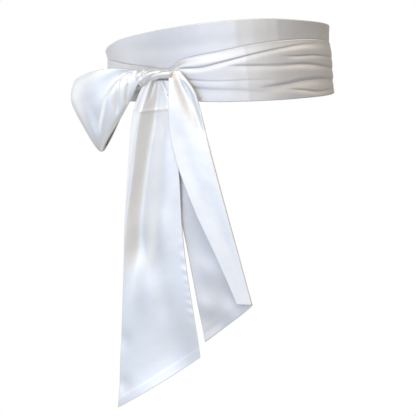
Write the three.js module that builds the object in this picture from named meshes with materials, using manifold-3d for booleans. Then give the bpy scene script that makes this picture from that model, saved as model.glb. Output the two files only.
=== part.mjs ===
// A satin sash worn round the waist and tied in front in a half bow: one loop and two hanging ends.
// Millimetres, +Z up. The front faces -Y; the origin is on the axis of the waist, level with mid-band.
import * as THREE from "three";
import { mergeVertices } from "three/addons/utils/BufferGeometryUtils.js";
import Module from "manifold-3d";

// Driving dimensions
const SASH_WIDTH = 95;
const CLOTH = 1.2;
const SEAM_GAP = 0.3;
const WAIST_HALF_WIDTH = 133;
const WAIST_HALF_DEPTH = 104;
const LEAN_SIDE = -0.08;
const LEAN_FRONT = -0.035;
const OVER_CLEARANCE = 0.7;
const BOW_FRONT = 120;
const TAIL_FACING = 12;
const TAIL_FRONT = 120;

// Mesh steps: along each stretch, then across it
const UNDER_STEPS = [64, 4];
const OVER_STEPS = [32, 17];
const LOOP_STEPS = [31, 15];
const LONG_STEPS = [24, 19];
const SHORT_STEPS = [26, 21];
const KNOT_STEPS = [20, 16];

// Edges of the first turn: angle from the centre front, positive to the wearer's left
const UNDER_EDGES = [
  { angle: -180, top: 30, bottom: -36 },
  { angle: -140, top: 22, bottom: -38 },
  { angle: -100, top: 13, bottom: -40 },
  { angle: -67, top: 12.5, bottom: -42 },
  { angle: -48, top: 17.6, bottom: -43 },
  { angle: -33, top: 24.2, bottom: -43.5 },
  { angle: -17, top: 29.1, bottom: -43.3 },
  { angle: 0, top: 34.1, bottom: -43 },
  { angle: 15, top: 37.9, bottom: -42.5 },
  { angle: 30, top: 41.3, bottom: -41.8 },
  { angle: 50, top: 44.2, bottom: -40 },
  { angle: 70, top: 43, bottom: -38 },
  { angle: 90, top: 41.1, bottom: -35 },
  { angle: 120, top: 37.5, bottom: -33 },
  { angle: 150, top: 33.5, bottom: -34 },
  { angle: 180, top: 30, bottom: -36 },
];

// The second turn, from the knot round the back to the knot again: its edges, and how full it stands
const OVER_EDGES = [
  { angle: 0, top: -9, bottom: -25, full: 4.4 },
  { angle: 3, top: -5.5, bottom: -25.5, full: 4.5 },
  { angle: 7, top: 0.5, bottom: -26.5, full: 4.5 },
  { angle: 13, top: 5.6, bottom: -29.5, full: 4.8 },
  { angle: 22, top: 10.6, bottom: -32, full: 5 },
  { angle: 31, top: 15, bottom: -36, full: 5 },
  { angle: 40, top: 18.2, bottom: -39.5, full: 4.6 },
  { angle: 53, top: 20.3, bottom: -40.8, full: 3.8 },
  { angle: 67, top: 22, bottom: -39.2, full: 2.8 },
  { angle: 85, top: 22.5, bottom: -36.6, full: 1.8 },
  { angle: 113, top: 19, bottom: -34, full: 1.6 },
  { angle: 150, top: 16, bottom: -34, full: 2.4 },
  { angle: 180, top: 14, bottom: -36, full: 2.6 },
  { angle: 215, top: 9, bottom: -38.5, full: 2.4 },
  { angle: 250, top: 5, bottom: -40.5, full: 1.6 },
  { angle: 293, top: 3.5, bottom: -41, full: 1.5 },
  { angle: 316, top: 3, bottom: -39, full: 2.6 },
  { angle: 334, top: -2, bottom: -35, full: 3.4 },
  { angle: 345, top: -6, bottom: -30, full: 4.2 },
  { angle: 355, top: -8.5, bottom: -26, full: 4.4 },
  { angle: 360, top: -9, bottom: -25, full: 4.4 },
];

// Creases of the second turn: where each runs, as a share of the height from the top edge, its depth as
// a share of the fullness, and its width
const OVER_CREASES = [
  { from: 2, to: 84, start: 0.5, middle: 0.14, end: 0.07, depth: 0.85, width: 5 },
  { from: 42, to: 132, start: 0.25, middle: 0.26, end: 0.33, depth: 0.7, width: 5 },
  { from: 10, to: 128, start: 0.36, middle: 0.41, end: 0.54, depth: 0.95, width: 6 },
  { from: 3, to: 56, start: 0.74, middle: 0.68, end: 0.62, depth: 0.6, width: 5.5 },
  { from: 36, to: 142, start: 0.8, middle: 0.67, end: 0.63, depth: 0.95, width: 6 },
  { from: 50, to: 136, start: 0.8, middle: 0.88, end: 0.82, depth: 0.6, width: 4 },
  { from: 104, to: 222, start: 0.2, middle: 0.27, end: 0.22, depth: 0.85, width: 6 },
  { from: 122, to: 246, start: 0.47, middle: 0.52, end: 0.5, depth: 0.95, width: 6 },
  { from: 116, to: 232, start: 0.76, middle: 0.78, end: 0.8, depth: 0.75, width: 5 },
  { from: 204, to: 314, start: 0.32, middle: 0.26, end: 0.2, depth: 0.8, width: 5 },
  { from: 226, to: 356, start: 0.55, middle: 0.44, end: 0.32, depth: 0.9, width: 6 },
  { from: 236, to: 352, start: 0.72, middle: 0.7, end: 0.6, depth: 0.9, width: 5.5 },
  { from: 290, to: 357, start: 0.9, middle: 0.86, end: 0.78, depth: 0.65, width: 4 },
];

// The loop's far fold, from its top edge to its bottom edge, and how each line to it rises and swells
const LOOP_FOLD = [
  { share: 0, reach: 113.5, drop: -22, rise: 10, swell: 7 },
  { share: 0.1, reach: 116, drop: -31, rise: 10, swell: 12 },
  { share: 0.25, reach: 115.5, drop: -44, rise: 8, swell: 17 },
  { share: 0.4, reach: 110, drop: -55.5, rise: 6, swell: 20 },
  { share: 0.55, reach: 101, drop: -69, rise: 4, swell: 20 },
  { share: 0.7, reach: 91.5, drop: -83.5, rise: 2, swell: 17 },
  { share: 0.85, reach: 82, drop: -95.5, rise: 1, swell: 12 },
  { share: 0.95, reach: 76.5, drop: -97.5, rise: 1, swell: 8 },
  { share: 1, reach: 73, drop: -93.5, rise: 1, swell: 5 },
];
const LOOP_NECK = { reach: 26, top: -11, bottom: -26, apart: 3 };

// Creases of the loop's front: where each starts on the neck, how it slants across, and where it ends
const LOOP_CREASES = [
  { start: 0.12, slant: 0.6, until: 1.05, depth: 6, width: 0.1 },
  { start: 0.36, slant: 1.3, until: 0.5, depth: 5, width: 0.09 },
  { start: 0.66, slant: 1, until: 0.34, depth: 3.5, width: 0.08 },
];

// The long end: its side edges seen square on, and the ridge and valley of its main pleat as shares across
const LONG_EDGES = [
  { height: -20, left: -14, right: 8, ridge: 0.24, valley: 0.56 },
  { height: -31, left: -23, right: 11, ridge: 0.26, valley: 0.58 },
  { height: -48, left: -30, right: 13, ridge: 0.23, valley: 0.56 },
  { height: -64, left: -33.2, right: 14.5, ridge: 0.19, valley: 0.53 },
  { height: -88, left: -36, right: 17.5, ridge: 0.14, valley: 0.43 },
  { height: -126, left: -39, right: 21.5, ridge: 0.08, valley: 0.32 },
  { height: -172, left: -42, right: 24.4, ridge: 0.01, valley: 0.25 },
  { height: -219, left: -45, right: 30.4, ridge: -0.03, valley: 0.19 },
  { height: -262, left: -47, right: 36, ridge: -0.05, valley: 0.16 },
  { height: -317, left: -49.8, right: 42.4, ridge: -0.06, valley: 0.14 },
  { height: -381, left: -52, right: 48, ridge: -0.06, valley: 0.13 },
];
const LONG_TOP = -20;
const LONG_CUT = { left: -381, right: -317 };
const LONG_PLEATS = 2;
const PLEAT_OPEN = 0.52;

// The short end: folded lengthwise, the fold on the right; its front and back layers end at free edges.
// A trough runs down the front layer from the knot, its place a share of the layer from the fold.
const SHORT_EDGES = [
  { height: -10, fold: 19, front: 9.5, back: 9.5, gap: 5, trough: 1, at: 0.6 },
  { height: -20, fold: 30, front: 10.5, back: 9, gap: 8, trough: 4, at: 0.66 },
  { height: -33, fold: 40.4, front: 11, back: 7, gap: 11, trough: 7, at: 0.6 },
  { height: -48, fold: 46, front: 11, back: 3, gap: 13, trough: 7, at: 0.46 },
  { height: -66, fold: 50.8, front: 11.4, back: 0.5, gap: 13, trough: 3, at: 0.32 },
  { height: -80, fold: 54.6, front: 13.2, back: 1, gap: 13, trough: 1, at: 0.3 },
  { height: -100, fold: 60.2, front: 18, back: 4.2, gap: 12.5, trough: 0, at: 0.3 },
  { height: -122, fold: 66.6, front: 25.4, back: 8.2, gap: 12, trough: 0, at: 0.3 },
  { height: -158, fold: 76.6, front: 40.4, back: 17.4, gap: 11, trough: 0, at: 0.3 },
  { height: -202, fold: 89, front: 62, back: 27, gap: 10, trough: 0, at: 0.3 },
  { height: -254, fold: 103.6, front: 86, back: 37.6, gap: 8, trough: 0, at: 0.3 },
  { height: -300, fold: 116, front: 104, back: 47.6, gap: 7, trough: 0, at: 0.3 },
];
const SHORT_TOP = -10;
const SHORT_CUT = { front: -254, fold: -254, back: -298 };
const SHORT_FRONT_SHARE = 0.44;
const SHORT_TUCK = { back: 3.4, over: 14 };
const FOLD_ROUNDING = 0.1;

// The knot: a roll of cloth lying across the front, from its full left end to its right end
const KNOT_LINE = [
  { along: 0, side: -32, height: -17, radius: 2.5, depth: 3.5 },
  { along: 0.07, side: -30, height: -17.6, radius: 7, depth: 6 },
  { along: 0.25, side: -23.5, height: -20, radius: 10, depth: 8.4 },
  { along: 0.5, side: -11, height: -15.6, radius: 7.8, depth: 9 },
  { along: 0.75, side: -0.5, height: -14.2, radius: 6, depth: 8.4 },
  { along: 0.93, side: 7.5, height: -15, radius: 4.6, depth: 6.4 },
  { along: 1, side: 10.5, height: -15.2, radius: 2, depth: 3.5 },
];
const KNOT_FRONT = 120.6;
const KNOT_GATHERS = { count: 5, depth: 0.09, twist: 1.2 };

const RAD = Math.PI / 180;
const mix = (a, b, t) => a + (b - a) * t;
const clamp = (t) => Math.min(1, Math.max(0, t));
const ease = (t) => clamp(t) ** 2 * (3 - 2 * clamp(t));

// A smooth curve through one column of a table, read at any value of its key
function curve(table, key, column) {
  const x = table.map((row) => row[key]);
  const y = table.map((row) => row[column]);
  const last = x.length - 1;
  const slope = x.map((_, i) => {
    const before = Math.max(0, i - 1);
    const after = Math.min(last, i + 1);
    return (y[after] - y[before]) / (x[after] - x[before]);
  });
  const rising = x[last] > x[0];
  return (at) => {
    let i = 0;
    while (i < last - 1 && (rising ? at > x[i + 1] : at < x[i + 1])) i += 1;
    const span = x[i + 1] - x[i];
    const t = clamp((at - x[i]) / span);
    const t2 = t * t;
    const t3 = t2 * t;
    return (
      (2 * t3 - 3 * t2 + 1) * y[i] +
      (t3 - 2 * t2 + t) * span * slope[i] +
      (3 * t2 - 2 * t3) * y[i + 1] +
      (t3 - t2) * span * slope[i + 1]
    );
  };
}

// A dip that falls steeply on its upper side and comes up slowly below
function dip(distance, width) {
  const side = distance < 0 ? 0.55 * width : 1.25 * width;
  return Math.exp(-((distance / side) ** 2));
}

// Middle points of a stretch: surface(u, v) for u along it and v across it
function grid(surface, [along, across], closed) {
  const points = [];
  for (let i = 0; i < along; i += 1) {
    const u = i / (closed ? along : along - 1);
    const row = [];
    for (let j = 0; j < across; j += 1) row.push(surface(u, j / (across - 1)));
    points.push(row);
  }
  return points;
}

// A closed wall of even thickness round a grid of middle points
function wall(points, thickness, closed) {
  const along = points.length;
  const across = points[0].length;
  const row = (i) => points[closed ? (i + along) % along : Math.min(along - 1, Math.max(0, i))];
  const position = [];
  const sides = [thickness / 2, -thickness / 2];
  for (const half of sides) {
    for (let i = 0; i < along; i += 1) {
      for (let j = 0; j < across; j += 1) {
        const down = row(i)[Math.min(across - 1, j + 1)].clone().sub(row(i)[Math.max(0, j - 1)]);
        const onward = row(i + 1)[j].clone().sub(row(i - 1)[j]);
        const normal = onward.cross(down).normalize();
        const p = points[i][j].clone().addScaledVector(normal, half);
        position.push(p.x, p.y, p.z);
      }
    }
  }
  const index = [];
  const at = (side, i, j) => side * along * across + (i % along) * across + j;
  const quad = (a, b, c, d) => index.push(a, b, c, a, c, d);
  const runs = closed ? along : along - 1;
  for (let i = 0; i < runs; i += 1) {
    for (let j = 0; j < across - 1; j += 1) {
      quad(at(0, i, j), at(0, i + 1, j), at(0, i + 1, j + 1), at(0, i, j + 1));
      quad(at(1, i, j), at(1, i, j + 1), at(1, i + 1, j + 1), at(1, i + 1, j));
    }
    quad(at(0, i, 0), at(1, i, 0), at(1, i + 1, 0), at(0, i + 1, 0));
    const end = across - 1;
    quad(at(0, i, end), at(0, i + 1, end), at(1, i + 1, end), at(1, i, end));
  }
  if (!closed) {
    const stop = along - 1;
    for (let j = 0; j < across - 1; j += 1) {
      quad(at(0, 0, j), at(0, 0, j + 1), at(1, 0, j + 1), at(1, 0, j));
      quad(at(0, stop, j), at(1, stop, j), at(1, stop, j + 1), at(0, stop, j + 1));
    }
  }
  return solid(position, index);
}

function solid(position, index) {
  const geometry = new THREE.BufferGeometry();
  geometry.setAttribute("position", new THREE.Float32BufferAttribute(position, 3));
  geometry.setIndex(index);
  return geometry;
}

// A point on the waist at an angle and height, so far out from the skin
function onWaist(angle, height, out) {
  return new THREE.Vector3(
    (WAIST_HALF_WIDTH + out) * Math.sin(angle * RAD) + LEAN_SIDE * height,
    -(WAIST_HALF_DEPTH + out) * Math.cos(angle * RAD) + LEAN_FRONT * height,
    height,
  );
}

// The first turn: flat against the waist
function wrapUnder() {
  const top = curve(UNDER_EDGES, "angle", "top");
  const bottom = curve(UNDER_EDGES, "angle", "bottom");
  const surface = (u, v) => {
    const angle = -180 + 360 * u;
    return onWaist(angle, mix(top(angle), bottom(angle), v), CLOTH / 2);
  };
  return wall(grid(surface, UNDER_STEPS, true), CLOTH, true);
}

// How far the second turn stands out of its flat line: full between creases, close at its edges
const overTop = curve(OVER_EDGES, "angle", "top");
const overBottom = curve(OVER_EDGES, "angle", "bottom");
const overFull = curve(OVER_EDGES, "angle", "full");
function overFullness(angle, share) {
  const height = overTop(angle) - overBottom(angle);
  let out = Math.min(1, 2.6 * Math.sin(Math.PI * clamp(share)) ** 0.8);
  for (const crease of OVER_CREASES) {
    const t = (angle - crease.from) / (crease.to - crease.from);
    if (t <= 0 || t >= 1) continue;
    const line = (1 - t) ** 2 * crease.start + 2 * t * (1 - t) * crease.middle + t * t * crease.end;
    const fade = ease(t * 5) * ease((1 - t) * 4);
    out -= crease.depth * fade * dip((share - line) * height, crease.width);
  }
  return overFull(angle) * Math.max(0, out);
}

// The second turn, one side of it: from the knot at the front to the middle of the back
function wrapOver(fromAngle, toAngle) {
  const base = CLOTH + OVER_CLEARANCE + CLOTH / 2;
  const surface = (u, v) => {
    const nearKnot = fromAngle < 180 ? u ** 1.35 : 1 - (1 - u) ** 1.35;
    const angle = mix(fromAngle, toAngle, nearKnot);
    const out = base + overFullness(angle, v);
    return onWaist(angle, mix(overTop(angle), overBottom(angle), v), out);
  };
  return wall(grid(surface, OVER_STEPS, false), CLOTH, false);
}

// The loop: out from the knot in front, round its far fold, and back behind
function bowLoop() {
  const column = (name) => curve(LOOP_FOLD, "share", name);
  const [reach, drop, rise, swell] = ["reach", "drop", "rise", "swell"].map(column);
  const surface = (u, v) => {
    const out = Math.sin(Math.PI * u) ** 2;
    const facing = Math.cos(Math.PI * u);
    let front = swell(v) * Math.sin(2 * Math.PI * u) * Math.sin(Math.PI * u) + LOOP_NECK.apart * facing;
    for (const crease of LOOP_CREASES) {
      const line = crease.start + crease.slant * out;
      const fade = ease(out * 6) * ease((crease.until - out) / 0.3);
      front -= crease.depth * fade * facing * Math.abs(facing) * dip(line - v, crease.width);
    }
    const neck = mix(LOOP_NECK.top, LOOP_NECK.bottom, v);
    const height = mix(neck, drop(v), out) + rise(v) * 4 * out * (1 - out);
    return new THREE.Vector3(-mix(LOOP_NECK.reach, reach(v), out), -BOW_FRONT - front, height);
  };
  return wall(grid(surface, LOOP_STEPS, false), CLOTH, false);
}

// A point of a hanging end: so far along its face, so far out in front of it, at a height
function onTail(along, out, height) {
  const facing = TAIL_FACING * RAD;
  return new THREE.Vector3(
    along * Math.cos(facing) + out * Math.sin(facing),
    -TAIL_FRONT + along * Math.sin(facing) - out * Math.cos(facing),
    height,
  );
}

// One wave across the long end: a ridge, a valley beside it, then a broad crest to the far edge
function pleatWave(share, ridge, valley) {
  const crest = mix(valley, 1, 0.6);
  const turns = [
    { share: ridge - 0.3, out: -0.6 },
    { share: ridge, out: 1 },
    { share: valley, out: -1 },
    { share: crest, out: 0.5 },
    { share: crest + 0.4, out: -0.4 },
  ];
  const i = Math.max(0, turns.findLastIndex((turn) => turn.share <= share));
  const [before, after] = [turns[i], turns[i + 1]];
  return mix(before.out, after.out, ease((share - before.share) / (after.share - before.share)));
}

// The long end: pleats as deep as its spare width makes them, opening towards the slanted cut
function tailLong() {
  const column = (name) => curve(LONG_EDGES, "height", name);
  const [left, right, ridge, valley] = ["left", "right", "ridge", "valley"].map(column);
  const surface = (u, v) => {
    const height = mix(LONG_TOP, mix(LONG_CUT.left, LONG_CUT.right, v), u);
    const width = right(height) - left(height);
    const spare = Math.sqrt(Math.max(0, SASH_WIDTH ** 2 - width ** 2));
    const pleat = (PLEAT_OPEN * spare) / (2 * LONG_PLEATS);
    const neck = mix(0.5, 1, ease((LONG_TOP - height) / 45));
    const out = 0.5 * pleat * neck * pleatWave(v, ridge(height), valley(height));
    return onTail(mix(left(height), right(height), v), out, height);
  };
  return wall(grid(surface, LONG_STEPS, false), CLOTH, false);
}

// The short end: front layer, fold and back layer in one section, its top tucked back over the knot
function tailShort() {
  const column = (name) => curve(SHORT_EDGES, "height", name);
  const [fold, front, back] = ["fold", "front", "back"].map(column);
  const [gap, trough, troughAt] = ["gap", "trough", "at"].map(column);
  const surface = (u, v) => {
    const inFront = v < SHORT_FRONT_SHARE;
    const layer = inFront ? SHORT_FRONT_SHARE : 1 - SHORT_FRONT_SHARE;
    const away = (v - SHORT_FRONT_SHARE) / layer;
    const cutEdge = inFront ? SHORT_CUT.front : SHORT_CUT.back;
    const height = mix(SHORT_TOP, mix(SHORT_CUT.fold, cutEdge, Math.abs(away)), u);
    const rounded = Math.hypot(away, FOLD_ROUNDING);
    const across = (rounded - FOLD_ROUNDING) / (Math.hypot(1, FOLD_ROUNDING) - FOLD_ROUNDING);
    const freeEdge = inFront ? front(height) : back(height);
    let out = (-away / rounded) * 0.5 * gap(height) * mix(0.4, 1, Math.abs(away));
    if (inFront) out -= trough(height) * Math.exp(-(((-away - troughAt(height)) / 0.2) ** 2));
    out -= SHORT_TUCK.back * (1 - ease((SHORT_TOP - height) / SHORT_TUCK.over)) ** 2;
    return onTail(mix(fold(height), freeEdge, across), out, height);
  };
  return wall(grid(surface, SHORT_STEPS, false), CLOTH, false);
}

// The knot's roll, its gathers winding round it; "spare" fattens it to cut its neighbours clear
function knot(spare) {
  const column = (name) => curve(KNOT_LINE, "along", name);
  const [side, height, radius, depth] = ["side", "height", "radius", "depth"].map(column);
  const [along, round] = KNOT_STEPS;
  const position = [];
  const index = [];
  for (let i = 0; i < along; i += 1) {
    const t = i / (along - 1);
    for (let j = 0; j < round; j += 1) {
      const angle = (2 * Math.PI * j) / round;
      const gather = Math.cos(KNOT_GATHERS.count * angle + KNOT_GATHERS.twist * 2 * Math.PI * t);
      const swell = 1 + KNOT_GATHERS.depth * gather * Math.sin(Math.PI * t);
      const up = (radius(t) * swell + spare) * Math.sin(angle);
      const out = (depth(t) * swell + spare) * Math.cos(angle);
      const end = spare * (2 * t - 1);
      position.push(side(t) + end, -KNOT_FRONT - out, height(t) + up);
    }
  }
  const at = (i, j) => i * round + (j % round);
  for (let i = 0; i < along - 1; i += 1) {
    for (let j = 0; j < round; j += 1) {
      index.push(at(i, j), at(i + 1, j), at(i + 1, j + 1));
      index.push(at(i, j), at(i + 1, j + 1), at(i, j + 1));
    }
  }
  for (let j = 1; j < round - 1; j += 1) {
    index.push(at(0, 0), at(0, j), at(0, j + 1));
    index.push(at(along - 1, 0), at(along - 1, j + 1), at(along - 1, j));
  }
  return solid(position, index);
}

const wasm = await Module();
wasm.setup();

function toManifold(geometry) {
  const merged = mergeVertices(geometry, 1e-4);
  return new wasm.Manifold(
    new wasm.Mesh({
      numProp: 3,
      vertProperties: merged.attributes.position.array,
      triVerts: new Uint32Array(merged.index.array),
    }),
  );
}

// A piece with what lies inside the cutters taken off, and only its largest body kept
function trim(geometry, cutters) {
  let body = toManifold(geometry);
  for (const cutter of cutters) body = body.subtract(toManifold(cutter));
  const kept = body.decompose().sort((a, b) => b.volume() - a.volume())[0];
  const mesh = kept.getMesh();
  return solid(Array.from(mesh.vertProperties), Array.from(mesh.triVerts));
}

const satin = new THREE.MeshStandardMaterial({ color: 0xf1f0ee, roughness: 0.35 });
const sash = new THREE.Group();
function add(name, geometry) {
  const mesh = new THREE.Mesh(geometry, satin);
  mesh.name = name;
  sash.add(mesh);
}

const aroundKnot = knot(SEAM_GAP);
add("wrap_under", wrapUnder());
add("wrap_over_right", wrapOver(0.3, 179.9));
add("wrap_over_left", wrapOver(180.1, 359.7));
add("knot", knot(0));
add("bow_loop", trim(bowLoop(), [aroundKnot]));
add("tail_long", trim(tailLong(), [aroundKnot]));
add("tail_short", trim(tailShort(), [aroundKnot]));

export default sash;
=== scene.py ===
# %% [markdown]
# # A satin sash tied in a half bow
#
# The real sash is one long strip of satin, 95 mm wide, wound twice round the waist and tied in front.
# One end is pulled only half way through the knot, so the bow has a single loop and two hanging ends.
# This lesson builds each stretch of the strip as a thin sheet whose shape is worked out from a few
# sizes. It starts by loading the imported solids, which fix where every stretch has to lie.

# %% Load the frame
import math

import bpy
import numpy as np
from mathutils import Matrix, Vector


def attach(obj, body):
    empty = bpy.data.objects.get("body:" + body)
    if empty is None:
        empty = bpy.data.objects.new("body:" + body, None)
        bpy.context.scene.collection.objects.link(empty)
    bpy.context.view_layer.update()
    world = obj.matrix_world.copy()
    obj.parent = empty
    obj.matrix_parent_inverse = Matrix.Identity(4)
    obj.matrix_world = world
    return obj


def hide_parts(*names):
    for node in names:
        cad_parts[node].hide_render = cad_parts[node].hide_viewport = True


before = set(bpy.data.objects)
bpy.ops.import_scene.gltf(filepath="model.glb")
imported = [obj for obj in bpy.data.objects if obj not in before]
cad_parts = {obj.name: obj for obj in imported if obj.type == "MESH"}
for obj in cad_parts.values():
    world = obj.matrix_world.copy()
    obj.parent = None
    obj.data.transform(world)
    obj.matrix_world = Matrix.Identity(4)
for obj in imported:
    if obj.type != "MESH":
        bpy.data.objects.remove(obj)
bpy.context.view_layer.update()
scene = bpy.context.scene
print("solids to dress:", ", ".join(sorted(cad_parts)))

# %% [markdown]
# ## The camera
#
# A camera can be aimed by hand, but a camera worked out from the picture lets every later edge be
# checked against a pixel. It stands at waist height, 30 degrees round to the wearer's left, and looks
# a little down, so the band lies high in a square frame and the ends hang through the middle of it.

# %% Camera
CAMERA_TURN = math.radians(30)
CAMERA_DIP = math.radians(7.9)
CAMERA_AWAY = 1.15
CAMERA_SIDE = -0.0105
CAMERA_HEIGHT = -0.010
FOCAL_PIXELS = 990
FRAME_PIXELS = 416
SENSOR_WIDTH = 36

to_right = Vector((math.cos(CAMERA_TURN), math.sin(CAMERA_TURN), 0))
level = Vector((-math.sin(CAMERA_TURN), math.cos(CAMERA_TURN), 0))
looking = level * math.cos(CAMERA_DIP) - Vector((0, 0, math.sin(CAMERA_DIP)))
upward = to_right.cross(looking)

camera = bpy.data.objects.new("camera", bpy.data.cameras.new("camera"))
scene.collection.objects.link(camera)
camera.data.sensor_width = SENSOR_WIDTH
camera.data.lens = FOCAL_PIXELS * SENSOR_WIDTH / FRAME_PIXELS
facing = Matrix((to_right, upward, -looking)).transposed().to_4x4()
stand = to_right * CAMERA_SIDE - level * CAMERA_AWAY + Vector((0, 0, CAMERA_HEIGHT))
camera.matrix_world = Matrix.Translation(stand) @ facing
scene.camera = camera
print(f"camera lens {camera.data.lens:.1f} mm, {CAMERA_AWAY} m from the waist")

# %% [markdown]
# ## Tables and curves
#
# Cloth that someone has tied is uneven, so its edges can't come from one formula. A short table with
# a row for each place where the edge changes is easier to read and to mend than a list of points. A
# smooth curve is then drawn through each column. All sizes here are in millimetres.

# %% Tables
def table(columns, *rows):
    return {name: np.array(column, float) for name, column in zip(columns.split(), zip(*rows))}


def each(rows):
    for values in zip(*rows.values()):
        yield dict(zip(rows, values))


def ease(t):
    t = np.clip(t, 0, 1)
    return t * t * (3 - 2 * t)


def mix(a, b, t):
    return a + (b - a) * t


print("half way up an ease from 0 to 1:", ease(0.5))

# %% Curves
def curve(rows, key, column, at):
    """A smooth curve through one column of a table, read at values of its key."""
    x, y = rows[key], rows[column]
    if x[-1] < x[0]:
        x, y = x[::-1], y[::-1]
    before = np.maximum(np.arange(len(x)) - 1, 0)
    after = np.minimum(np.arange(len(x)) + 1, len(x) - 1)
    slope = (y[after] - y[before]) / (x[after] - x[before])
    at = np.clip(at, x[0], x[-1])
    i = np.clip(np.searchsorted(x, at) - 1, 0, len(x) - 2)
    span = x[i + 1] - x[i]
    t = (at - x[i]) / span
    sway = (t**3 - 2 * t**2 + t) * slope[i] + (t**3 - t**2) * slope[i + 1]
    return mix(y[i], y[i + 1], ease(t)) + sway * span


trial = table("at value", (0, 0), (10, 5), (20, 5))
print("a curve through 0, 5 and 5 reads", curve(trial, "at", "value", np.array([5.0, 15.0])))

# %% [markdown]
# ## Creases
#
# A crease pressed into satin is a line where the cloth dives under a fold. It is steep on one side
# and comes back slowly on the other. A texture could fake it, but a real dip catches the light from
# every side, so each crease is a dip in the sheet itself, with its own place, length, depth and width.

# %% Creases
STEEP_SIDE, SLOW_SIDE = 0.4, 1.3
CREASE_IN, CREASE_OUT = 0.15, 0.25


def dip(distance, width):
    side = np.where(distance < 0, STEEP_SIDE, SLOW_SIDE) * width
    return np.exp(-((distance / side) ** 2))


def trough(distance, width):
    return np.exp(-((distance / width) ** 2))


def fade(t, start, end):
    """Brings a crease in over the first share of its length and out over the last."""
    return ease(t / start) * ease((1 - t) / end)


print("a dip 2 mm wide, 1 mm above and below its line:", dip(np.array([-1.0, 1.0]), 2).round(2))

# %% [markdown]
# ## From a sheet to a mesh
#
# Each stretch is a grid of points on the middle of the cloth. A Solidify modifier could thicken it,
# but then both faces would share one finish. Here the two faces are written out with a rounded rim
# between them, so the bright face of the satin and its duller reverse are different materials. The
# texture map is laid out in metres along and across the strip, so threads keep their size everywhere.

# %% Cloth walls
CLOTH = 0.9
MILLIMETRE = 0.001


def lay_grid(along, across):
    return np.meshgrid(np.linspace(0, 1, along), np.linspace(0, 1, across), indexing="ij")


def unit(vectors):
    return vectors / np.maximum(np.linalg.norm(vectors, axis=-1, keepdims=True), 1e-9)


def wall_section(points, closed):
    """Each row of points becomes a loop: down the face, round the rim, up the reverse, round the rim."""
    if closed:
        onward = np.roll(points, -1, axis=0) - np.roll(points, 1, axis=0)
    else:
        onward = np.gradient(points, axis=0)
    down = unit(np.gradient(points, axis=1))
    half = unit(np.cross(onward, down)) * CLOTH / 2
    low_rim = points[:, -1:] + down[:, -1:] * CLOTH / 2
    top_rim = points[:, :1] - down[:, :1] * CLOTH / 2
    return np.concatenate([points + half, low_rim, (points - half)[:, ::-1], top_rim], axis=1)


def end_cap(loop, across):
    face, low, top = loop[:across], loop[across], loop[-1]
    reverse = loop[across + 1 : -1][::-1]
    middle = [(face[j], face[j + 1], reverse[j + 1], reverse[j]) for j in range(across - 1)]
    return [(top, face[0], reverse[0]), *middle, (face[-1], low, reverse[-1])]


print(f"cloth walls are {CLOTH} mm thick")

# %% Pieces of cloth
def new_piece(name, points, faces, finishes, finish_of_face, chart):
    mesh = bpy.data.meshes.new(name)
    mesh.from_pydata((points.reshape(-1, 3) * MILLIMETRE).tolist(), [], faces)
    mesh.polygons.foreach_set("material_index", np.asarray(finish_of_face, np.int32))
    mesh.shade_smooth()
    corner = np.empty(len(mesh.loops), np.int32)
    mesh.loops.foreach_get("vertex_index", corner)
    layer = mesh.uv_layers.new(name="strip")
    layer.data.foreach_set("uv", chart.reshape(-1, 2)[corner].astype(np.float32).ravel())
    for finish in finishes:
        mesh.materials.append(finish)
    piece = bpy.data.objects.new(name, mesh)
    scene.collection.objects.link(piece)
    return piece


def cloth(name, points, flat, finishes, closed=False):
    """A closed thin shell round a grid of points (along, across, xyz), with a map in metres."""
    section = wall_section(points, closed)
    along, across = points.shape[:2]
    round_it = section.shape[1]
    index = np.arange(along * round_it).reshape(along, round_it)
    onward = np.roll(index, -1, axis=0) if closed else index[1:]
    here = index if closed else index[:-1]
    beside = [np.roll(rows, -1, axis=1) for rows in (onward, here)]
    quads = np.stack([here, onward, *beside], axis=-1)
    on_reverse = np.zeros(quads.shape[:2], int)
    on_reverse[:, across + 1 : 2 * across] = 1
    faces = quads.reshape(-1, 4).tolist()
    if not closed:
        faces += end_cap(index[0].tolist(), across)
        faces += [face[::-1] for face in end_cap(index[-1].tolist(), across)]
    finish_of_face = np.zeros(len(faces), int)
    finish_of_face[: on_reverse.size] = on_reverse.ravel()
    down = np.linspace(0, flat[0], across)
    chart = np.zeros((along, round_it, 2))
    chart[:, :, 0] = np.linspace(0, flat[1], along)[:, None]
    chart[:, :, 1] = np.concatenate([down, down[-1:], down[::-1], down[:1]])
    return new_piece(name, section, faces, finishes, finish_of_face, chart)


def dress(piece, nodes):
    """Says what a piece rides on and which solids it stands for."""
    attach(piece, "root")
    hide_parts(*nodes)
    print(f"{piece.name}: {len(piece.data.polygons)} faces, for {', '.join(nodes)}")


# %% [markdown]
# ## The satin
#
# Satin is woven so that long floating threads cover one face. They line up the light into a soft
# sheen, and the reverse is duller. The threads and the soft unevenness of pressed cloth show on both
# faces, so they are one node group that is placed in each material. It puts out a tone and a height.
# A picture of cloth could do this too, but it would blur up close.

# %% Satin threads
THREADS_PER_METRE, THREADS_DRAWN_OUT = 2500, 0.06
RUMPLES_PER_METRE, RUMPLES_ROUGHNESS = 38, 0.45
THREADS_IN_TONE, THREADS_IN_HEIGHT = 0.8, 0.03


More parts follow.
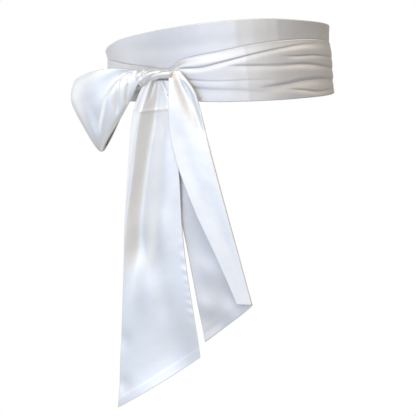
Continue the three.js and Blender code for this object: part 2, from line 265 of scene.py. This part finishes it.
def satin_threads():
    group = bpy.data.node_groups.new("satin_threads", "ShaderNodeTree")
    group.interface.new_socket("Threads per metre", in_out="INPUT", socket_type="NodeSocketFloat")
    group.interface.new_socket("Tone", in_out="OUTPUT", socket_type="NodeSocketFloat")
    group.interface.new_socket("Height", in_out="OUTPUT", socket_type="NodeSocketFloat")
    nodes, links = group.nodes, group.links
    inside = nodes.new("NodeGroupInput")
    outside = nodes.new("NodeGroupOutput")
    chart = nodes.new("ShaderNodeUVMap")
    chart.uv_map = "strip"
    # Floating threads: noise drawn out along the strip, each streak a thread wide
    stretch = nodes.new("ShaderNodeVectorMath")
    stretch.operation = "MULTIPLY"
    stretch.inputs[1].default_value = (THREADS_DRAWN_OUT, 1, 1)
    threads = nodes.new("ShaderNodeTexNoise")
    threads.inputs["Detail"].default_value = 2
    links.new(chart.outputs["UV"], stretch.inputs[0])
    links.new(stretch.outputs["Vector"], threads.inputs["Vector"])
    links.new(inside.outputs["Threads per metre"], threads.inputs["Scale"])
    # Soft rumples, a few centimetres long, that pressing leaves behind
    rumples = nodes.new("ShaderNodeTexNoise")
    rumples.inputs["Scale"].default_value = RUMPLES_PER_METRE
    rumples.inputs["Detail"].default_value = 3
    rumples.inputs["Roughness"].default_value = RUMPLES_ROUGHNESS
    links.new(chart.outputs["UV"], rumples.inputs["Vector"])
    for name, thread_share in (("Tone", THREADS_IN_TONE), ("Height", THREADS_IN_HEIGHT)):
        added = nodes.new("ShaderNodeMath")
        added.operation = "MULTIPLY_ADD"
        added.inputs[1].default_value = thread_share
        links.new(threads.outputs["Fac"], added.inputs[0])
        links.new(rumples.outputs["Fac"], added.inputs[2])
        links.new(added.outputs["Value"], outside.inputs[name])
    return group


THREADS = satin_threads()
print("node group:", THREADS.name)

# %% Satin face and reverse
TONE_LOW, TONE_HIGH = 0.6, 1.2
SATIN_MIRROR = 0.55
SHEEN, SHEEN_ROUGHNESS = 0.1, 0.4
RELIEF, RELIEF_DEPTH = 0.25, 0.002


def satin(name, light, shade, roughness):
    finish = bpy.data.materials.new(name)
    finish.use_nodes = True
    nodes, links = finish.node_tree.nodes, finish.node_tree.links
    shader = nodes["Principled BSDF"]
    threads = nodes.new("ShaderNodeGroup")
    threads.node_tree = THREADS
    threads.inputs["Threads per metre"].default_value = THREADS_PER_METRE
    colour = nodes.new("ShaderNodeMix")
    colour.data_type = "RGBA"
    shades = [socket for socket in colour.inputs if socket.type == "RGBA"]
    shades[0].default_value = (*shade, 1)
    shades[1].default_value = (*light, 1)
    ramp = nodes.new("ShaderNodeMapRange")
    ramp.inputs["From Min"].default_value = TONE_LOW
    ramp.inputs["From Max"].default_value = TONE_HIGH
    links.new(threads.outputs["Tone"], ramp.inputs["Value"])
    links.new(ramp.outputs["Result"], colour.inputs["Factor"])
    links.new(next(o for o in colour.outputs if o.type == "RGBA"), shader.inputs["Base Color"])
    shader.inputs["Roughness"].default_value = roughness
    bump = nodes.new("ShaderNodeBump")
    bump.inputs["Strength"].default_value = RELIEF
    bump.inputs["Distance"].default_value = RELIEF_DEPTH
    links.new(threads.outputs["Height"], bump.inputs["Height"])
    links.new(bump.outputs["Normal"], shader.inputs["Normal"])
    shader.inputs["Metallic"].default_value = SATIN_MIRROR
    shader.inputs["Sheen Weight"].default_value = SHEEN
    shader.inputs["Sheen Roughness"].default_value = SHEEN_ROUGHNESS
    return finish


FACE = satin("satin_face", light=(0.91, 0.91, 0.91), shade=(0.85, 0.85, 0.86), roughness=0.32)
REVERSE = satin("satin_reverse", light=(0.77, 0.77, 0.79), shade=(0.71, 0.71, 0.73), roughness=0.42)
SATIN = (FACE, REVERSE)
print("finishes:", ", ".join(finish.name for finish in SATIN))

# %% [markdown]
# ## The first turn
#
# The strip first goes once round the waist, flat and a little higher on the wearer's left. It is a
# ring on an oval, so an angle and a height place every point. The band leans slightly with the waist
# and its upper edge flares a little at the sides, while its lower edge tucks in under the knot. Folds
# from its packet are pressed across it, the taut cloth has faint pulls, and it sinks in where the
# second turn's edge presses on it, so the edges of that turn are settled first.

# %% The waist
WAIST_WIDE, WAIST_DEEP = 132, 104
LEAN_SIDE, LEAN_FRONT = -0.08, -0.035
WAIST_BEND = 120


def on_waist(angle, height, out):
    turn = np.radians(angle)
    x = (WAIST_WIDE + out) * np.sin(turn) + LEAN_SIDE * height
    y = -(WAIST_DEEP + out) * np.cos(turn) + LEAN_FRONT * height
    return np.stack([x, y, height], axis=-1)


def pressed_fold(angle, line, reach):
    """A fold pressed across the strip: two flats, each as long as the reach, meet in a low corner."""
    away = np.radians(np.abs(angle - line)) * WAIST_BEND
    return np.maximum(0, reach - away) ** 2 / (2 * WAIST_BEND)


print(f"waist {2 * WAIST_WIDE} by {2 * WAIST_DEEP} mm")

# %% Edges of the second turn
OVER_EDGES = table(
    "angle top bottom full",
    (0, -9, -25, 4.4), (3, -5.5, -29, 4.2), (7, 0.5, -35, 3.4), (13, 4.2, -41, 2.6),
    (22, 7.8, -42, 2.2), (31, 11.8, -41.7, 2), (40, 15.8, -41.1, 1.9), (53, 19.8, -40, 1.8),
    (67, 22, -38.4, 1.7), (85, 22.5, -36.6, 1.5), (113, 19, -34, 1.1), (150, 16, -34, 1.6),
    (180, 14, -36, 1.8), (215, 9, -38.5, 1.6), (250, 3.5, -40.5, 1.1), (293, 1.5, -41, 0.9),
    (316, 0.5, -39, 1.8), (334, -3.5, -35, 2.8), (345, -6, -30, 3.8), (355, -8.5, -26, 4.4),
    (360, -9, -25, 4.4),
)
over_top, over_bottom = OVER_EDGES["top"], OVER_EDGES["bottom"]
print(f"second turn {np.min(over_top - over_bottom)} to {np.max(over_top - over_bottom)} mm wide")

# %% The first turn
UNDER_EDGES = table(
    "angle top bottom flare tuck",
    (-180, 30, -36, 0, 0), (-140, 21, -38, 1, 0), (-100, 9.5, -40, 4, 0), (-67, 11, -42, 3, 0),
    (-48, 17.6, -43, 1, 0), (-33, 23.6, -43.5, 0, 1), (-17, 28.2, -43.1, 0, 4), (0, 33.4, -42.4, 0, 4),
    (15, 37.6, -41.6, 0, 1), (30, 40.7, -40.8, 0, 0), (50, 43.1, -39, 0.4, 0), (70, 42.2, -37.4, 1.4, 0),
    (90, 40.6, -35, 2, 0), (120, 37.5, -33, 1.4, 0), (150, 33.5, -34, 0.5, 0), (180, 30, -36, 0, 0),
)
UNDER_PULLS = table(
    "start end share drift depth width",
    (-40, 30, 0.2, 0.1, 0.35, 7), (-10, 80, 0.3, -0.1, 0.3, 8), (60, 150, 0.3, 0.15, 0.4, 6),
    (110, 178, 0.6, -0.2, 0.4, 7), (-178, -110, 0.3, 0.1, 0.4, 6), (-120, -40, 0.5, -0.15, 0.4, 6),
)
# Each row: the angle of a fold pressed across the strip, and its reach
UNDER_FOLDS = ((33.7, 11), (55, 10))
UNDER_OUT, FLARE_SHARE, TUCK_SHARE, PULL_FADE = 0.6, 0.35, 0.3, 0.4
UNDER_GRID = (361, 120)
UNDER_FLAT = (0.080, 0.76)
SINK, SINK_ABOVE, SINK_OVER = 0.9, 1.4, 2.2
SINK_ROUND, SINK_FADE = 110, 40


def flared(angle, height):
    """How far the first turn's upper edge stands off the waist. The second turn follows it."""
    top = curve(UNDER_EDGES, "angle", "top", angle)
    bottom = curve(UNDER_EDGES, "angle", "bottom", angle)
    share = (top - height) / (top - bottom)
    return curve(UNDER_EDGES, "angle", "flare", angle) * np.maximum(0, 1 - share / FLARE_SHARE) ** 2


u, v = lay_grid(*UNDER_GRID)
angle = mix(-180, 180, u[:-1])
v = v[:-1]
top = curve(UNDER_EDGES, "angle", "top", angle)
bottom = curve(UNDER_EDGES, "angle", "bottom", angle)
height = mix(top, bottom, v)
out = UNDER_OUT
for line, reach in UNDER_FOLDS:
    out = out + pressed_fold(angle, line, reach)
out += flared(angle, height)
out -= curve(UNDER_EDGES, "angle", "tuck", angle) * np.maximum(0, 1 - (1 - v) / TUCK_SHARE) ** 2
above_edge = height - curve(OVER_EDGES, "angle", "top", angle % 360)
sunk = SINK * ease((SINK_ROUND - np.abs(angle)) / SINK_FADE)
out -= sunk * ease((SINK_ABOVE - above_edge) / SINK_OVER)
for pull in each(UNDER_PULLS):
    t = (angle - pull["start"]) / (pull["end"] - pull["start"])
    below = (v - pull["share"] - pull["drift"] * t) * (top - bottom)
    out -= pull["depth"] * fade(t, PULL_FADE, PULL_FADE) * trough(below, pull["width"])
first_turn = cloth("sash_first_turn", on_waist(angle, height, out), UNDER_FLAT, SATIN, closed=True)
dress(first_turn, ["wrap_under"])

# %% [markdown]
# ## The second turn
#
# The second turn lies over the first. At the sides it spreads out almost flat, and at the knot it is
# squeezed to a quarter of its width, so folds fan out from there. Each fold is listed by where it
# starts and ends round the waist. Sculpting would do as well, but a list can be checked line by line.

# %% Creases of the second turn
# Each row: how deep as a share of the fullness, how wide, and (angle, height) points along the crease
OVER_CREASES = (
    (0.7, 2.2, (3, -8), (16, -7), (25, -2.4), (40, 6), (56, 13.2), (72, 18), (94, 18.5)),
    (0.45, 1.9, (54, 5), (66, 5.2), (77, 6.2), (94, 5.2), (128, 3)),
    (0.75, 2.8, (26, -5.4), (38, -5), (53, -4.5), (70, -3), (92, -5.8), (130, -10)),
    (0.12, 2, (6, -19), (22, -21), (38, -19.6), (56, -18.5)),
    (0.22, 5, (8, -28), (20, -30), (36, -31), (52, -34)),
    (0.85, 4.4, (40, -29), (58, -23.8), (66, -20.8), (81, -18.8), (98, -19.8), (138, -22)),
    (0.45, 2, (54, -29), (67, -30), (76, -31.7), (85, -31.3), (100, -29), (132, -28)),
    (0.7, 3, (104, 9), (163, 1.5), (222, -2.5)),
    (0.8, 3.2, (118, -4), (170, -9), (215, -19), (250, -24)),
    (0.6, 2.4, (124, -25), (160, -21), (208, -27), (236, -33)),
    (0.5, 2, (138, 2), (160, -5), (188, -13)),
    (0.45, 2.6, (182, -30), (222, -31), (262, -26)),
    (0.7, 2.8, (204, -5), (259, -7), (300, -5)),
    (0.8, 3, (226, -18), (291, -16), (335, -14.5), (357, -14)),
    (0.8, 3, (236, -27), (294, -27.5), (330, -24), (356, -19)),
    (0.6, 2.4, (290, -36.5), (324, -31.5), (357, -22)),
    (0.4, 2, (262, -11), (296, -10.5), (330, -9.5)),
    (0.5, 2.2, (303, -1.5), (326, -5), (335, -7.2), (355, -11)),
)
print(len(OVER_CREASES), "creases round the second turn")

# %% The second turn
OVER_OUT, OVER_RISE = 1.5, 0.2
OVER_FOLD, OVER_FOLD_REACH = 37.5, 9
OVER_GRID = (481, 96)
OVER_FLAT = (0.058, 0.79)

u, v = lay_grid(*OVER_GRID)
angle = mix(0, 360, u[:-1])
v = v[:-1]
top = curve(OVER_EDGES, "angle", "top", angle)
bottom = curve(OVER_EDGES, "angle", "bottom", angle)
height = mix(top, bottom, v)
full = curve(OVER_EDGES, "angle", "full", angle) * ease(v / OVER_RISE)
for deep, wide, *points in OVER_CREASES:
    line = curve(table("angle height", *points), "angle", "height", angle)
    t = (angle - points[0][0]) / (points[-1][0] - points[0][0])
    full *= 1 - deep * fade(t, CREASE_IN, CREASE_OUT) * dip(line - height, wide)
out = OVER_OUT + full + pressed_fold(angle, OVER_FOLD, OVER_FOLD_REACH)
out += flared((angle + 180) % 360 - 180, height)
second_turn = cloth("sash_second_turn", on_waist(angle, height, out), OVER_FLAT, SATIN, closed=True)
dress(second_turn, ["wrap_over_right", "wrap_over_left"])

# %% [markdown]
# ## The loop
#
# The loop runs out from the knot in front, turns at a far fold and comes back behind. Seen from
# above it is a teardrop. Seen from the front it is a fan: lines from the narrow neck to a long fold,
# each with its own reach and drop. Soft creases fan out of the neck across its front and its back.

# %% The loop
BOW_FRONT = 120
LOOP_FOLD = table(
    "share reach drop rise swell",
    (0, 111.5, -22.5, 7.5, 13.5), (0.1, 115, -31.5, 8.5, 16), (0.25, 115.5, -44, 8, 18.3),
    (0.4, 110, -55.5, 6, 19.5), (0.55, 101, -69, 4, 19.5), (0.7, 91.5, -83.5, 2, 16),
    (0.85, 82, -95.5, 1, 10.5), (0.95, 76.5, -97.5, 1, 6.3), (1, 73, -93.5, 1, 5),
)
# Each row: how deep in mm, how wide as a share, and (reached, share) points along the crease
LOOP_CREASES = (
    (3.6, 0.2, (0.08, 0), (0.18, 0.12), (0.27, 0.29), (0.45, 0.46), (0.56, 0.57), (0.72, 0.68), (0.9, 0.8)),
    (2, 0.11, (0.05, 0.04), (0.16, 0.2), (0.23, 0.36), (0.32, 0.68), (0.46, 0.84)),
    (1.2, 0.08, (0.06, 0.2), (0.13, 0.32), (0.15, 0.57), (0.2, 0.76), (0.28, 0.95)),
)
NECK_REACH, NECK_TOP, NECK_BOTTOM, NECK_APART = 26, -11, -21, 2.5
LOOP_SAG, LOOP_TURN = 9, 2.2
LOOP_GRID = (190, 100)
LOOP_FLAT = (0.075, 0.17)

u, v = lay_grid(*LOOP_GRID)
reached = np.sin(np.pi * u) ** 2
side = np.cos(np.pi * u)
swell = curve(LOOP_FOLD, "share", "swell", v)
front = swell * np.sin(2 * np.pi * u) * np.sin(np.pi * u) + NECK_APART * side
for deep, wide, *points in LOOP_CREASES:
    line = curve(table("reached share", *points), "reached", "share", reached)
    t = (reached - points[0][0]) / (points[-1][0] - points[0][0])
    front -= deep * fade(t, CREASE_IN, CREASE_OUT) * np.clip(LOOP_TURN * side, -1, 1) * dip(line - v, wide)
height = mix(mix(NECK_TOP, NECK_BOTTOM, v), curve(LOOP_FOLD, "share", "drop", v), reached)
height += (curve(LOOP_FOLD, "share", "rise", v) - LOOP_SAG * v * side) * 4 * reached * (1 - reached)
reach = mix(NECK_REACH, curve(LOOP_FOLD, "share", "reach", v), reached)
loop_points = np.stack([-reach, -BOW_FRONT - front, height], axis=-1)
loop = cloth("loop_of_bow", loop_points, LOOP_FLAT, SATIN)
dress(loop, ["bow_loop"])

# %% [markdown]
# ## The long end
#
# Below the knot the strip opens from a bunch of pleats to its full width and ends in a slanted cut.
# The pleats have to be as deep as the spare width of the strip, so their depth is worked out from it.
# One ridge stands near the left edge with a shaded valley beside it. A pressed line crosses the pleats
# a hand's breadth below the knot, the right edge is puckered by its seam, and the end has a hem.

# %% Sizes of the long end
SASH_WIDTH = 95
TAIL_FACING = math.radians(12)
TAIL_FRONT = 120
LONG_EDGES = table(
    "height left right ridge valley",
    (-20, -17, 8, 0.26, 0.56), (-31, -24, 11, 0.27, 0.58), (-48, -30.6, 13, 0.24, 0.56),
    (-64, -33.2, 14.5, 0.19, 0.53), (-88, -35.4, 17.5, 0.14, 0.43), (-126, -38, 20.8, 0.08, 0.32),
    (-172, -40.8, 22.8, 0.01, 0.25), (-219, -43.4, 27.8, -0.03, 0.19), (-262, -46, 34.4, -0.05, 0.16),
    (-317, -49.2, 42, -0.06, 0.14), (-381, -52, 48, -0.06, 0.13),
)
LONG_CREASES = table(
    "top bottom high low depth width",
    (0.12, 0.05, -24, -60, 0.8, 0.05), (0.4, 0.36, -20, -44, 0.5, 0.05),
    (0.76, 0.7, -22, -90, 0.9, 0.06), (0.68, 0.97, -16, -42, 2.2, 0.035),
)
LONG_SWELLS = table(
    "height share lean tall wide out",
    (-120, 0.75, 0, 50, 0.3, 1.6), (-178, 0.62, 0.001, 26, 0.2, 2.4), (-200, 0.33, 0.001, 20, 0.17, -2.6),
    (-246, 0.36, 0.001, 26, 0.18, 2.4), (-316, 0.75, 0, 40, 0.34, -6), (-378, 0.35, 0, 30, 0.45, 4),
    (-304, 0.02, 0, 12, 0.1, -1.4), (-354, 0.04, 0, 11, 0.1, -1.6), (-262, 0.6, 0.002, 16, 0.12, -1.2),
)
LONG_TOP, LONG_CUT_LEFT, LONG_CUT_RIGHT = -20, -381, -317
PLEAT_OPEN, LONG_PLEATS, PLEAT_START, PLEAT_DOWN = 0.52, 2, 0.5, 45
CREST_SHARE, RIDGE_RISE, CREST_RISE, FAR_FALL = 0.6, 5.3, 1.5, -1.4
RIDGE_ROUND, VALLEY_ROUND, CREST_ROUND = 0.02, 0.05, 0.15
TAIL_CREASE_OUT = 0.4


def on_tail(along, out, height):
    x = along * math.cos(TAIL_FACING) + out * math.sin(TAIL_FACING)
    y = -TAIL_FRONT + along * math.sin(TAIL_FACING) - out * math.cos(TAIL_FACING)
    return np.stack([x, y, height], axis=-1)


def bend(distance, rounding):
    """Nothing before a line and the distance beyond it, with the corner rounded off."""
    return 0.5 * (distance + np.hypot(distance, rounding))


def pleat_wave(share, ridge, valley):
    """Up to a sharp ridge, down a flat facet to a valley, then a broad crest to the far edge."""
    crest = mix(valley, 1, CREST_SHARE)
    falling = -2 / (valley - ridge)
    climbing = CREST_RISE / (crest - valley)
    wave = 1 + RIDGE_RISE * (share - ridge)
    wave += (falling - RIDGE_RISE) * bend(share - ridge, RIDGE_ROUND)
    wave += (climbing - falling) * bend(share - valley, VALLEY_ROUND)
    return wave + (FAR_FALL - climbing) * bend(share - crest, CREST_ROUND)


def tail_swells(rows, height, share):
    """Broad soft swells and hollows, each an oval on the cloth that leans with the height."""
    out = np.zeros_like(height)
    for swell in each(rows):
        above = height - swell["height"]
        beside = share - swell["share"] - swell["lean"] * above
        out += swell["out"] * trough(above, swell["tall"]) * trough(beside, swell["wide"])
    return out


def tail_creases(rows, height, share):
    depth = np.zeros_like(height)
    for crease in each(rows):
        t = (crease["high"] - height) / (crease["high"] - crease["low"])
        line = mix(crease["top"], crease["bottom"], t)
        depth += crease["depth"] * fade(t, CREASE_IN, TAIL_CREASE_OUT) * trough(share - line, crease["width"])
    return depth


print(f"long end {LONG_TOP - LONG_CUT_LEFT} mm down its longer edge")

# %% The long end
PRESSED_LINE, PRESSED_TILT, PRESSED_SLOPE, PRESSED_OVER = -54, 5, 0.14, 8
PRESSED_RIDGE, PRESSED_WIDE, PRESSED_CORNER, PRESSED_EASE = 0.45, 1.4, 0.6, 5
PUCKER_TOP, PUCKER_LENGTH, PUCKER_PITCH, PUCKER_OUT = -165, 135, 11, 0.3
PUCKER_EDGE, PUCKER_WIDE, PUCKER_IN, PUCKER_END = 0.97, 0.04, 0.2, 0.3
# Puckers drift along the edge and vary in height, each over its own length
UNEVEN, DRIFT_LENGTH, VARY_LENGTH = 0.4, 13, 9
FLAT_BELOW, FLAT_OVER = -180, 110
HEM, HEM_STEP, HEM_RISE = 13, 0.3, 4
LONG_GRID = (330, 100)
LONG_FLAT = (0.080, 0.33)

u, v = lay_grid(*LONG_GRID)
cut = mix(LONG_CUT_LEFT, LONG_CUT_RIGHT, v)
height = mix(LONG_TOP, cut, u)
left, right, ridge, valley = (
    curve(LONG_EDGES, "height", name, height) for name in ("left", "right", "ridge", "valley")
)
spare = np.sqrt(np.maximum(0, SASH_WIDTH**2 - (right - left) ** 2))
pleat = PLEAT_OPEN * spare / (2 * LONG_PLEATS)
pleat *= mix(PLEAT_START, 1, ease((LONG_TOP - height) / PLEAT_DOWN))
pleat *= 1 - ease((FLAT_BELOW - height) / FLAT_OVER)
out = 0.5 * pleat * pleat_wave(v, ridge, valley) - tail_creases(LONG_CREASES, height, v)
out += tail_swells(LONG_SWELLS, height, v)
above_press = height - PRESSED_LINE - PRESSED_TILT * v
out -= PRESSED_SLOPE * bend(above_press, PRESSED_CORNER)
out += PRESSED_SLOPE * bend(above_press - PRESSED_OVER, PRESSED_EASE)
out += PRESSED_RIDGE * trough(above_press, PRESSED_WIDE)
puckered = fade((PUCKER_TOP - height) / PUCKER_LENGTH, PUCKER_IN, PUCKER_END)
puckered *= trough(PUCKER_EDGE - v, PUCKER_WIDE) * (1 - UNEVEN + UNEVEN * np.sin(height / VARY_LENGTH))
wander = 2 * np.pi * (height / PUCKER_PITCH + UNEVEN * np.sin(height / DRIFT_LENGTH))
out += PUCKER_OUT * puckered * np.sin(wander)
out += HEM_STEP * ease((HEM - (height - cut)) / HEM_RISE)
long_end = cloth("long_end", on_tail(mix(left, right, v), out, height), LONG_FLAT, SATIN)
dress(long_end, ["tail_long"])

# %% [markdown]
# ## The short end
#
# The other end is doubled lengthwise. It hangs with its fold on the right, so its section is a flat
# V. Two sheets could be sewn along the fold, but one sheet whose section turns the corner keeps the
# satin running round it. A trough runs down from the knot where the cloth is still gathered, and the
# back layer curls forward towards its free edge.

# %% Sizes of the short end
SHORT_EDGES = table(
    "height fold front back gap trough at",
    (-10, 19, 9.5, 9.5, 5, 1, 0.5), (-20, 29, 10.5, 9, 8, 2.4, 0.5), (-33, 38, 11, 7, 11, 3.2, 0.44),
    (-48, 43, 11, 3, 13, 2.8, 0.32), (-66, 47.6, 11.4, 0.5, 13, 1.6, 0.2),
    (-80, 51.2, 13.2, 1, 13, 0.6, 0.16), (-100, 56.6, 18, 4.2, 12.5, 0, 0.16),
    (-122, 62.8, 25.4, 9.4, 12, 0, 0.16),
    (-158, 72.8, 39.8, 18.6, 11, 0, 0.16), (-202, 84.8, 60.6, 27.8, 10, 0, 0.16),
    (-254, 98.8, 83.4, 37.8, 8, 0, 0.16), (-300, 111, 101, 46.8, 7, 0, 0.16),
)
SHORT_CREASES = table(
    "top bottom high low depth width",
    (0.25, 0.12, -16, -90, 0.8, 0.08), (0.75, 0.6, -60, -200, 0.7, 0.2), (0.4, 0.35, -120, -240, 0.6, 0.2),
)
SHORT_SWELLS = table(
    "height share lean tall wide out",
    (-190, 0.8, 0, 30, 0.25, 2), (-222, 0.7, 0, 14, 0.2, -2), (-250, 0.4, 0.002, 18, 0.2, 3.4),
    (-262, 0.85, 0, 12, 0.16, -2), (-284, 0.7, 0, 20, 0.3, 3.4),
)
SHORT_TOP, SHORT_CUT_FRONT, SHORT_CUT_BACK = -10, -255, -300
FRONT_SHARE = 0.44
TUCK_BACK, TUCK_OVER = 3.4, 14
SWING_BACK, SWING_BELOW, SWING_OVER = 6, -120, 160
FOLD_ROUNDING, FOLD_PRESSED = 0.035, 0.12
TROUGH_WIDE = 0.22
BACK_CURL, CURL_FROM, CURL_BELOW, CURL_OVER = 3.5, 0.5, -70, 50
print(f"short end {SHORT_TOP - SHORT_CUT_BACK} mm down its longer edge")

# %% The short end
SHORT_GRID = (210, 120)
SHORT_FLAT = (0.088, 0.28)

u, v = lay_grid(*SHORT_GRID)
in_front = v < FRONT_SHARE
away = (v - FRONT_SHARE) / np.where(in_front, FRONT_SHARE, 1 - FRONT_SHARE)
cut = mix(SHORT_CUT_FRONT, np.where(in_front, SHORT_CUT_FRONT, SHORT_CUT_BACK), np.abs(away))
height = mix(SHORT_TOP, cut, u)
rounded = np.hypot(away, FOLD_ROUNDING)
across = (rounded - FOLD_ROUNDING) / (math.hypot(1, FOLD_ROUNDING) - FOLD_ROUNDING)
fold, front, back, gap, sunk, sunk_at = (
    curve(SHORT_EDGES, "height", name, height)
    for name in ("fold", "front", "back", "gap", "trough", "at")
)
out = -away / rounded * 0.5 * gap * mix(FOLD_PRESSED, 1, np.abs(away))
out -= in_front * sunk * trough(away + sunk_at, TROUGH_WIDE)
out -= in_front * tail_creases(SHORT_CREASES, height, -away)
out -= np.where(in_front, 0, tail_swells(SHORT_SWELLS, height, away))
curl = BACK_CURL * ease((CURL_BELOW - height) / CURL_OVER)
out += curl * np.maximum(0, (away - CURL_FROM) / (1 - CURL_FROM)) ** 2
out -= TUCK_BACK * (1 - ease((SHORT_TOP - height) / TUCK_OVER)) ** 2
out -= SWING_BACK * ease((SWING_BELOW - height) / SWING_OVER)
out -= np.where(in_front, 0, HEM_STEP) * ease((HEM - (height - cut)) / HEM_RISE)
edge = np.where(in_front, front, back)
short_end = cloth("short_end", on_tail(mix(fold, edge, across), out, height), SHORT_FLAT, SATIN)
dress(short_end, ["tail_short"])

# %% [markdown]
# ## The knot
#
# The knot is a roll of cloth drawn tight across the front. It is wound from the strip, so its folds
# run round it on a slant. A twisted rope could stand in, but the roll is fat at one end and thin at
# the other, so it is a tube whose size changes along its line, with sharp valleys between full folds.

# %% The knot
KNOT_LINE = table(
    "along side height radius depth",
    (0, -29.5, -16, 2.5, 3.5), (0.07, -27.5, -16.4, 7, 6), (0.25, -21.5, -18.4, 9.2, 8.4),
    (0.5, -10.5, -15.2, 6.4, 8.8), (0.75, 0.5, -14, 5, 6.6), (0.93, 10, -13.6, 3.8, 4.2),
    (1, 14, -13, 2, 2.5),
)
KNOT_FRONT = 120.6
KNOT_FOLDS, KNOT_FOLD_DEPTH, KNOT_FOLD_SHARP, KNOT_FOLD_FADE = 3, 0.3, 1.4, 0.35
KNOT_TWIST = 2.4
LOBE_END, LOBE_DEPTH, LOBE_SWAY, LOBE_WIDE = 0.29, 0.22, 0.03, 0.03
KNOT_GRID = (140, 121)
KNOT_FLAT = (0.026, 0.045)

t, v = lay_grid(*KNOT_GRID)
t, v = t[:, :-1], v[:, :-1]
turn = 2 * np.pi * v
side, height, radius, depth = (
    curve(KNOT_LINE, "along", name, t) for name in ("side", "height", "radius", "depth")
)
slant = 0.5 * (KNOT_FOLDS * turn - KNOT_TWIST * 2 * np.pi * t)
folds = (1 - np.abs(np.cos(slant))) ** KNOT_FOLD_SHARP
folds *= fade(t, KNOT_FOLD_FADE, KNOT_FOLD_FADE) * KNOT_FOLD_DEPTH
lobe = LOBE_DEPTH * trough(t - LOBE_END - LOBE_SWAY * np.sin(turn), LOBE_WIDE)
size = 1 - folds - lobe
up = radius * size * np.sin(turn)
forward = depth * size * np.cos(turn)
knot_points = np.stack([side, -KNOT_FRONT - forward, height + up], axis=-1)

along, round_it = t.shape
index = np.arange(along * round_it).reshape(along, round_it)
beside = np.roll(index, -1, axis=1)
faces = np.stack([index[:-1], index[1:], beside[1:], beside[:-1]], axis=-1).reshape(-1, 4).tolist()
faces += [index[0].tolist(), index[-1, ::-1].tolist()]
chart = np.stack([t * KNOT_FLAT[1], v * KNOT_FLAT[0]], axis=-1)
knot = new_piece("knot_roll", knot_points, faces, [FACE], np.zeros(len(faces)), chart)
dress(knot, ["knot"])

# %% [markdown]
# ## Floor and light
#
# The studio is plain: a pale floor a metre below the waist in a bright room, both white to the camera,
# so the sash stands out by its shading alone. Satin shows whatever is round it, so the soft lights are
# patches of the room itself and not lamps: a large one above the front, a cool one on the left, dim
# bluish ones low in front, the floor's own light from below, and a warm one high on the right. Behind
# the sash the patches are weak, so the band darkens towards its far side.

# %% Floor
FLOOR_HEIGHT, FLOOR_HALF = -1.05, 2.5

floor_mesh = bpy.data.meshes.new("floor")
corners = [(x, y, FLOOR_HEIGHT) for x, y in ((-1, -1), (1, -1), (1, 1), (-1, 1))]
floor_mesh.from_pydata([(x * FLOOR_HALF, y * FLOOR_HALF, z) for x, y, z in corners], [], [(0, 1, 2, 3)])
floor = bpy.data.objects.new("floor", floor_mesh)
scene.collection.objects.link(floor)
paint = bpy.data.materials.new("pale_floor")
paint.use_nodes = True
glow = paint.node_tree.nodes.new("ShaderNodeEmission")
shown = paint.node_tree.nodes["Material Output"].inputs["Surface"]
paint.node_tree.links.new(glow.outputs["Emission"], shown)
floor_mesh.materials.append(paint)
# The floor is only seen: the light that it throws back is one of the patches of the room
floor.visible_diffuse = False
floor.visible_glossy = False
floor.visible_shadow = False
print(f"floor {-FLOOR_HEIGHT} m below the band")

# %% Patches of light
# Each row: degrees round from the front, degrees up, and the red, green and blue of the patch
PATCHES = (
    (-70, 5, (1.06, 1.09, 1.14)),
    (0, 35, (2.1, 2.05, 1.95)),
    (40, 0, (0.64, 0.59, 0.5)),
    (0, 0, (0.13, 0.29, 0.56)),
    (0, -40, (0.36, 0.38, 0.42)),
    (0, -90, (0.75, 0.7, 0.62)),
    (112, 52, (1.6, 1.35, 1.05)),
    (-130, 10, (0.7, 0.7, 0.7)),
    (165, -10, (0.2, 0.17, 0.14)),
)
PATCH_FOCUS = 6
ROOM = 0.13

world = bpy.data.worlds.new("studio")
scene.world = world
world.use_nodes = True
nodes, links = world.node_tree.nodes, world.node_tree.links
direction = nodes.new("ShaderNodeTexCoord").outputs["Generated"]


def combine(kind, operation, first, second):
    """A maths node whose inputs are each a socket or a plain value."""
    node = nodes.new(kind)
    node.operation = operation
    wanted = "Scale" if operation == "SCALE" else 1
    for place, value in ((0, first), (wanted, second)):
        if isinstance(value, bpy.types.NodeSocket):
            links.new(value, node.inputs[place])
        else:
            node.inputs[place].default_value = value
    return node.outputs["Value" if kind == "ShaderNodeMath" or operation == "DOT_PRODUCT" else "Vector"]


room = (ROOM, ROOM, ROOM)
for turn, lift, colour in PATCHES:
    around, above = math.radians(turn), math.radians(lift)
    flat = math.cos(above)
    towards = (math.sin(around) * flat, -math.cos(around) * flat, math.sin(above))
    facing_it = combine("ShaderNodeVectorMath", "DOT_PRODUCT", direction, towards)
    in_patch = combine("ShaderNodeMath", "MAXIMUM", facing_it, 0)
    strength = combine("ShaderNodeMath", "POWER", in_patch, PATCH_FOCUS)
    patch = combine("ShaderNodeVectorMath", "SCALE", colour, strength)
    room = combine("ShaderNodeVectorMath", "ADD", patch, room)

lit = nodes["Background"]
links.new(room, lit.inputs["Color"])
seen = nodes.new("ShaderNodeBackground")
seen.inputs["Color"].default_value = (1, 1, 1, 1)
path = nodes.new("ShaderNodeLightPath")
chosen = nodes.new("ShaderNodeMixShader")
links.new(path.outputs["Is Camera Ray"], chosen.inputs["Fac"])
links.new(lit.outputs["Background"], chosen.inputs[1])
links.new(seen.outputs["Background"], chosen.inputs[2])
links.new(chosen.outputs["Shader"], nodes["World Output"].inputs["Surface"])
scene.view_settings.view_transform = "Standard"
print(len(PATCHES), "patches of light round the sash")
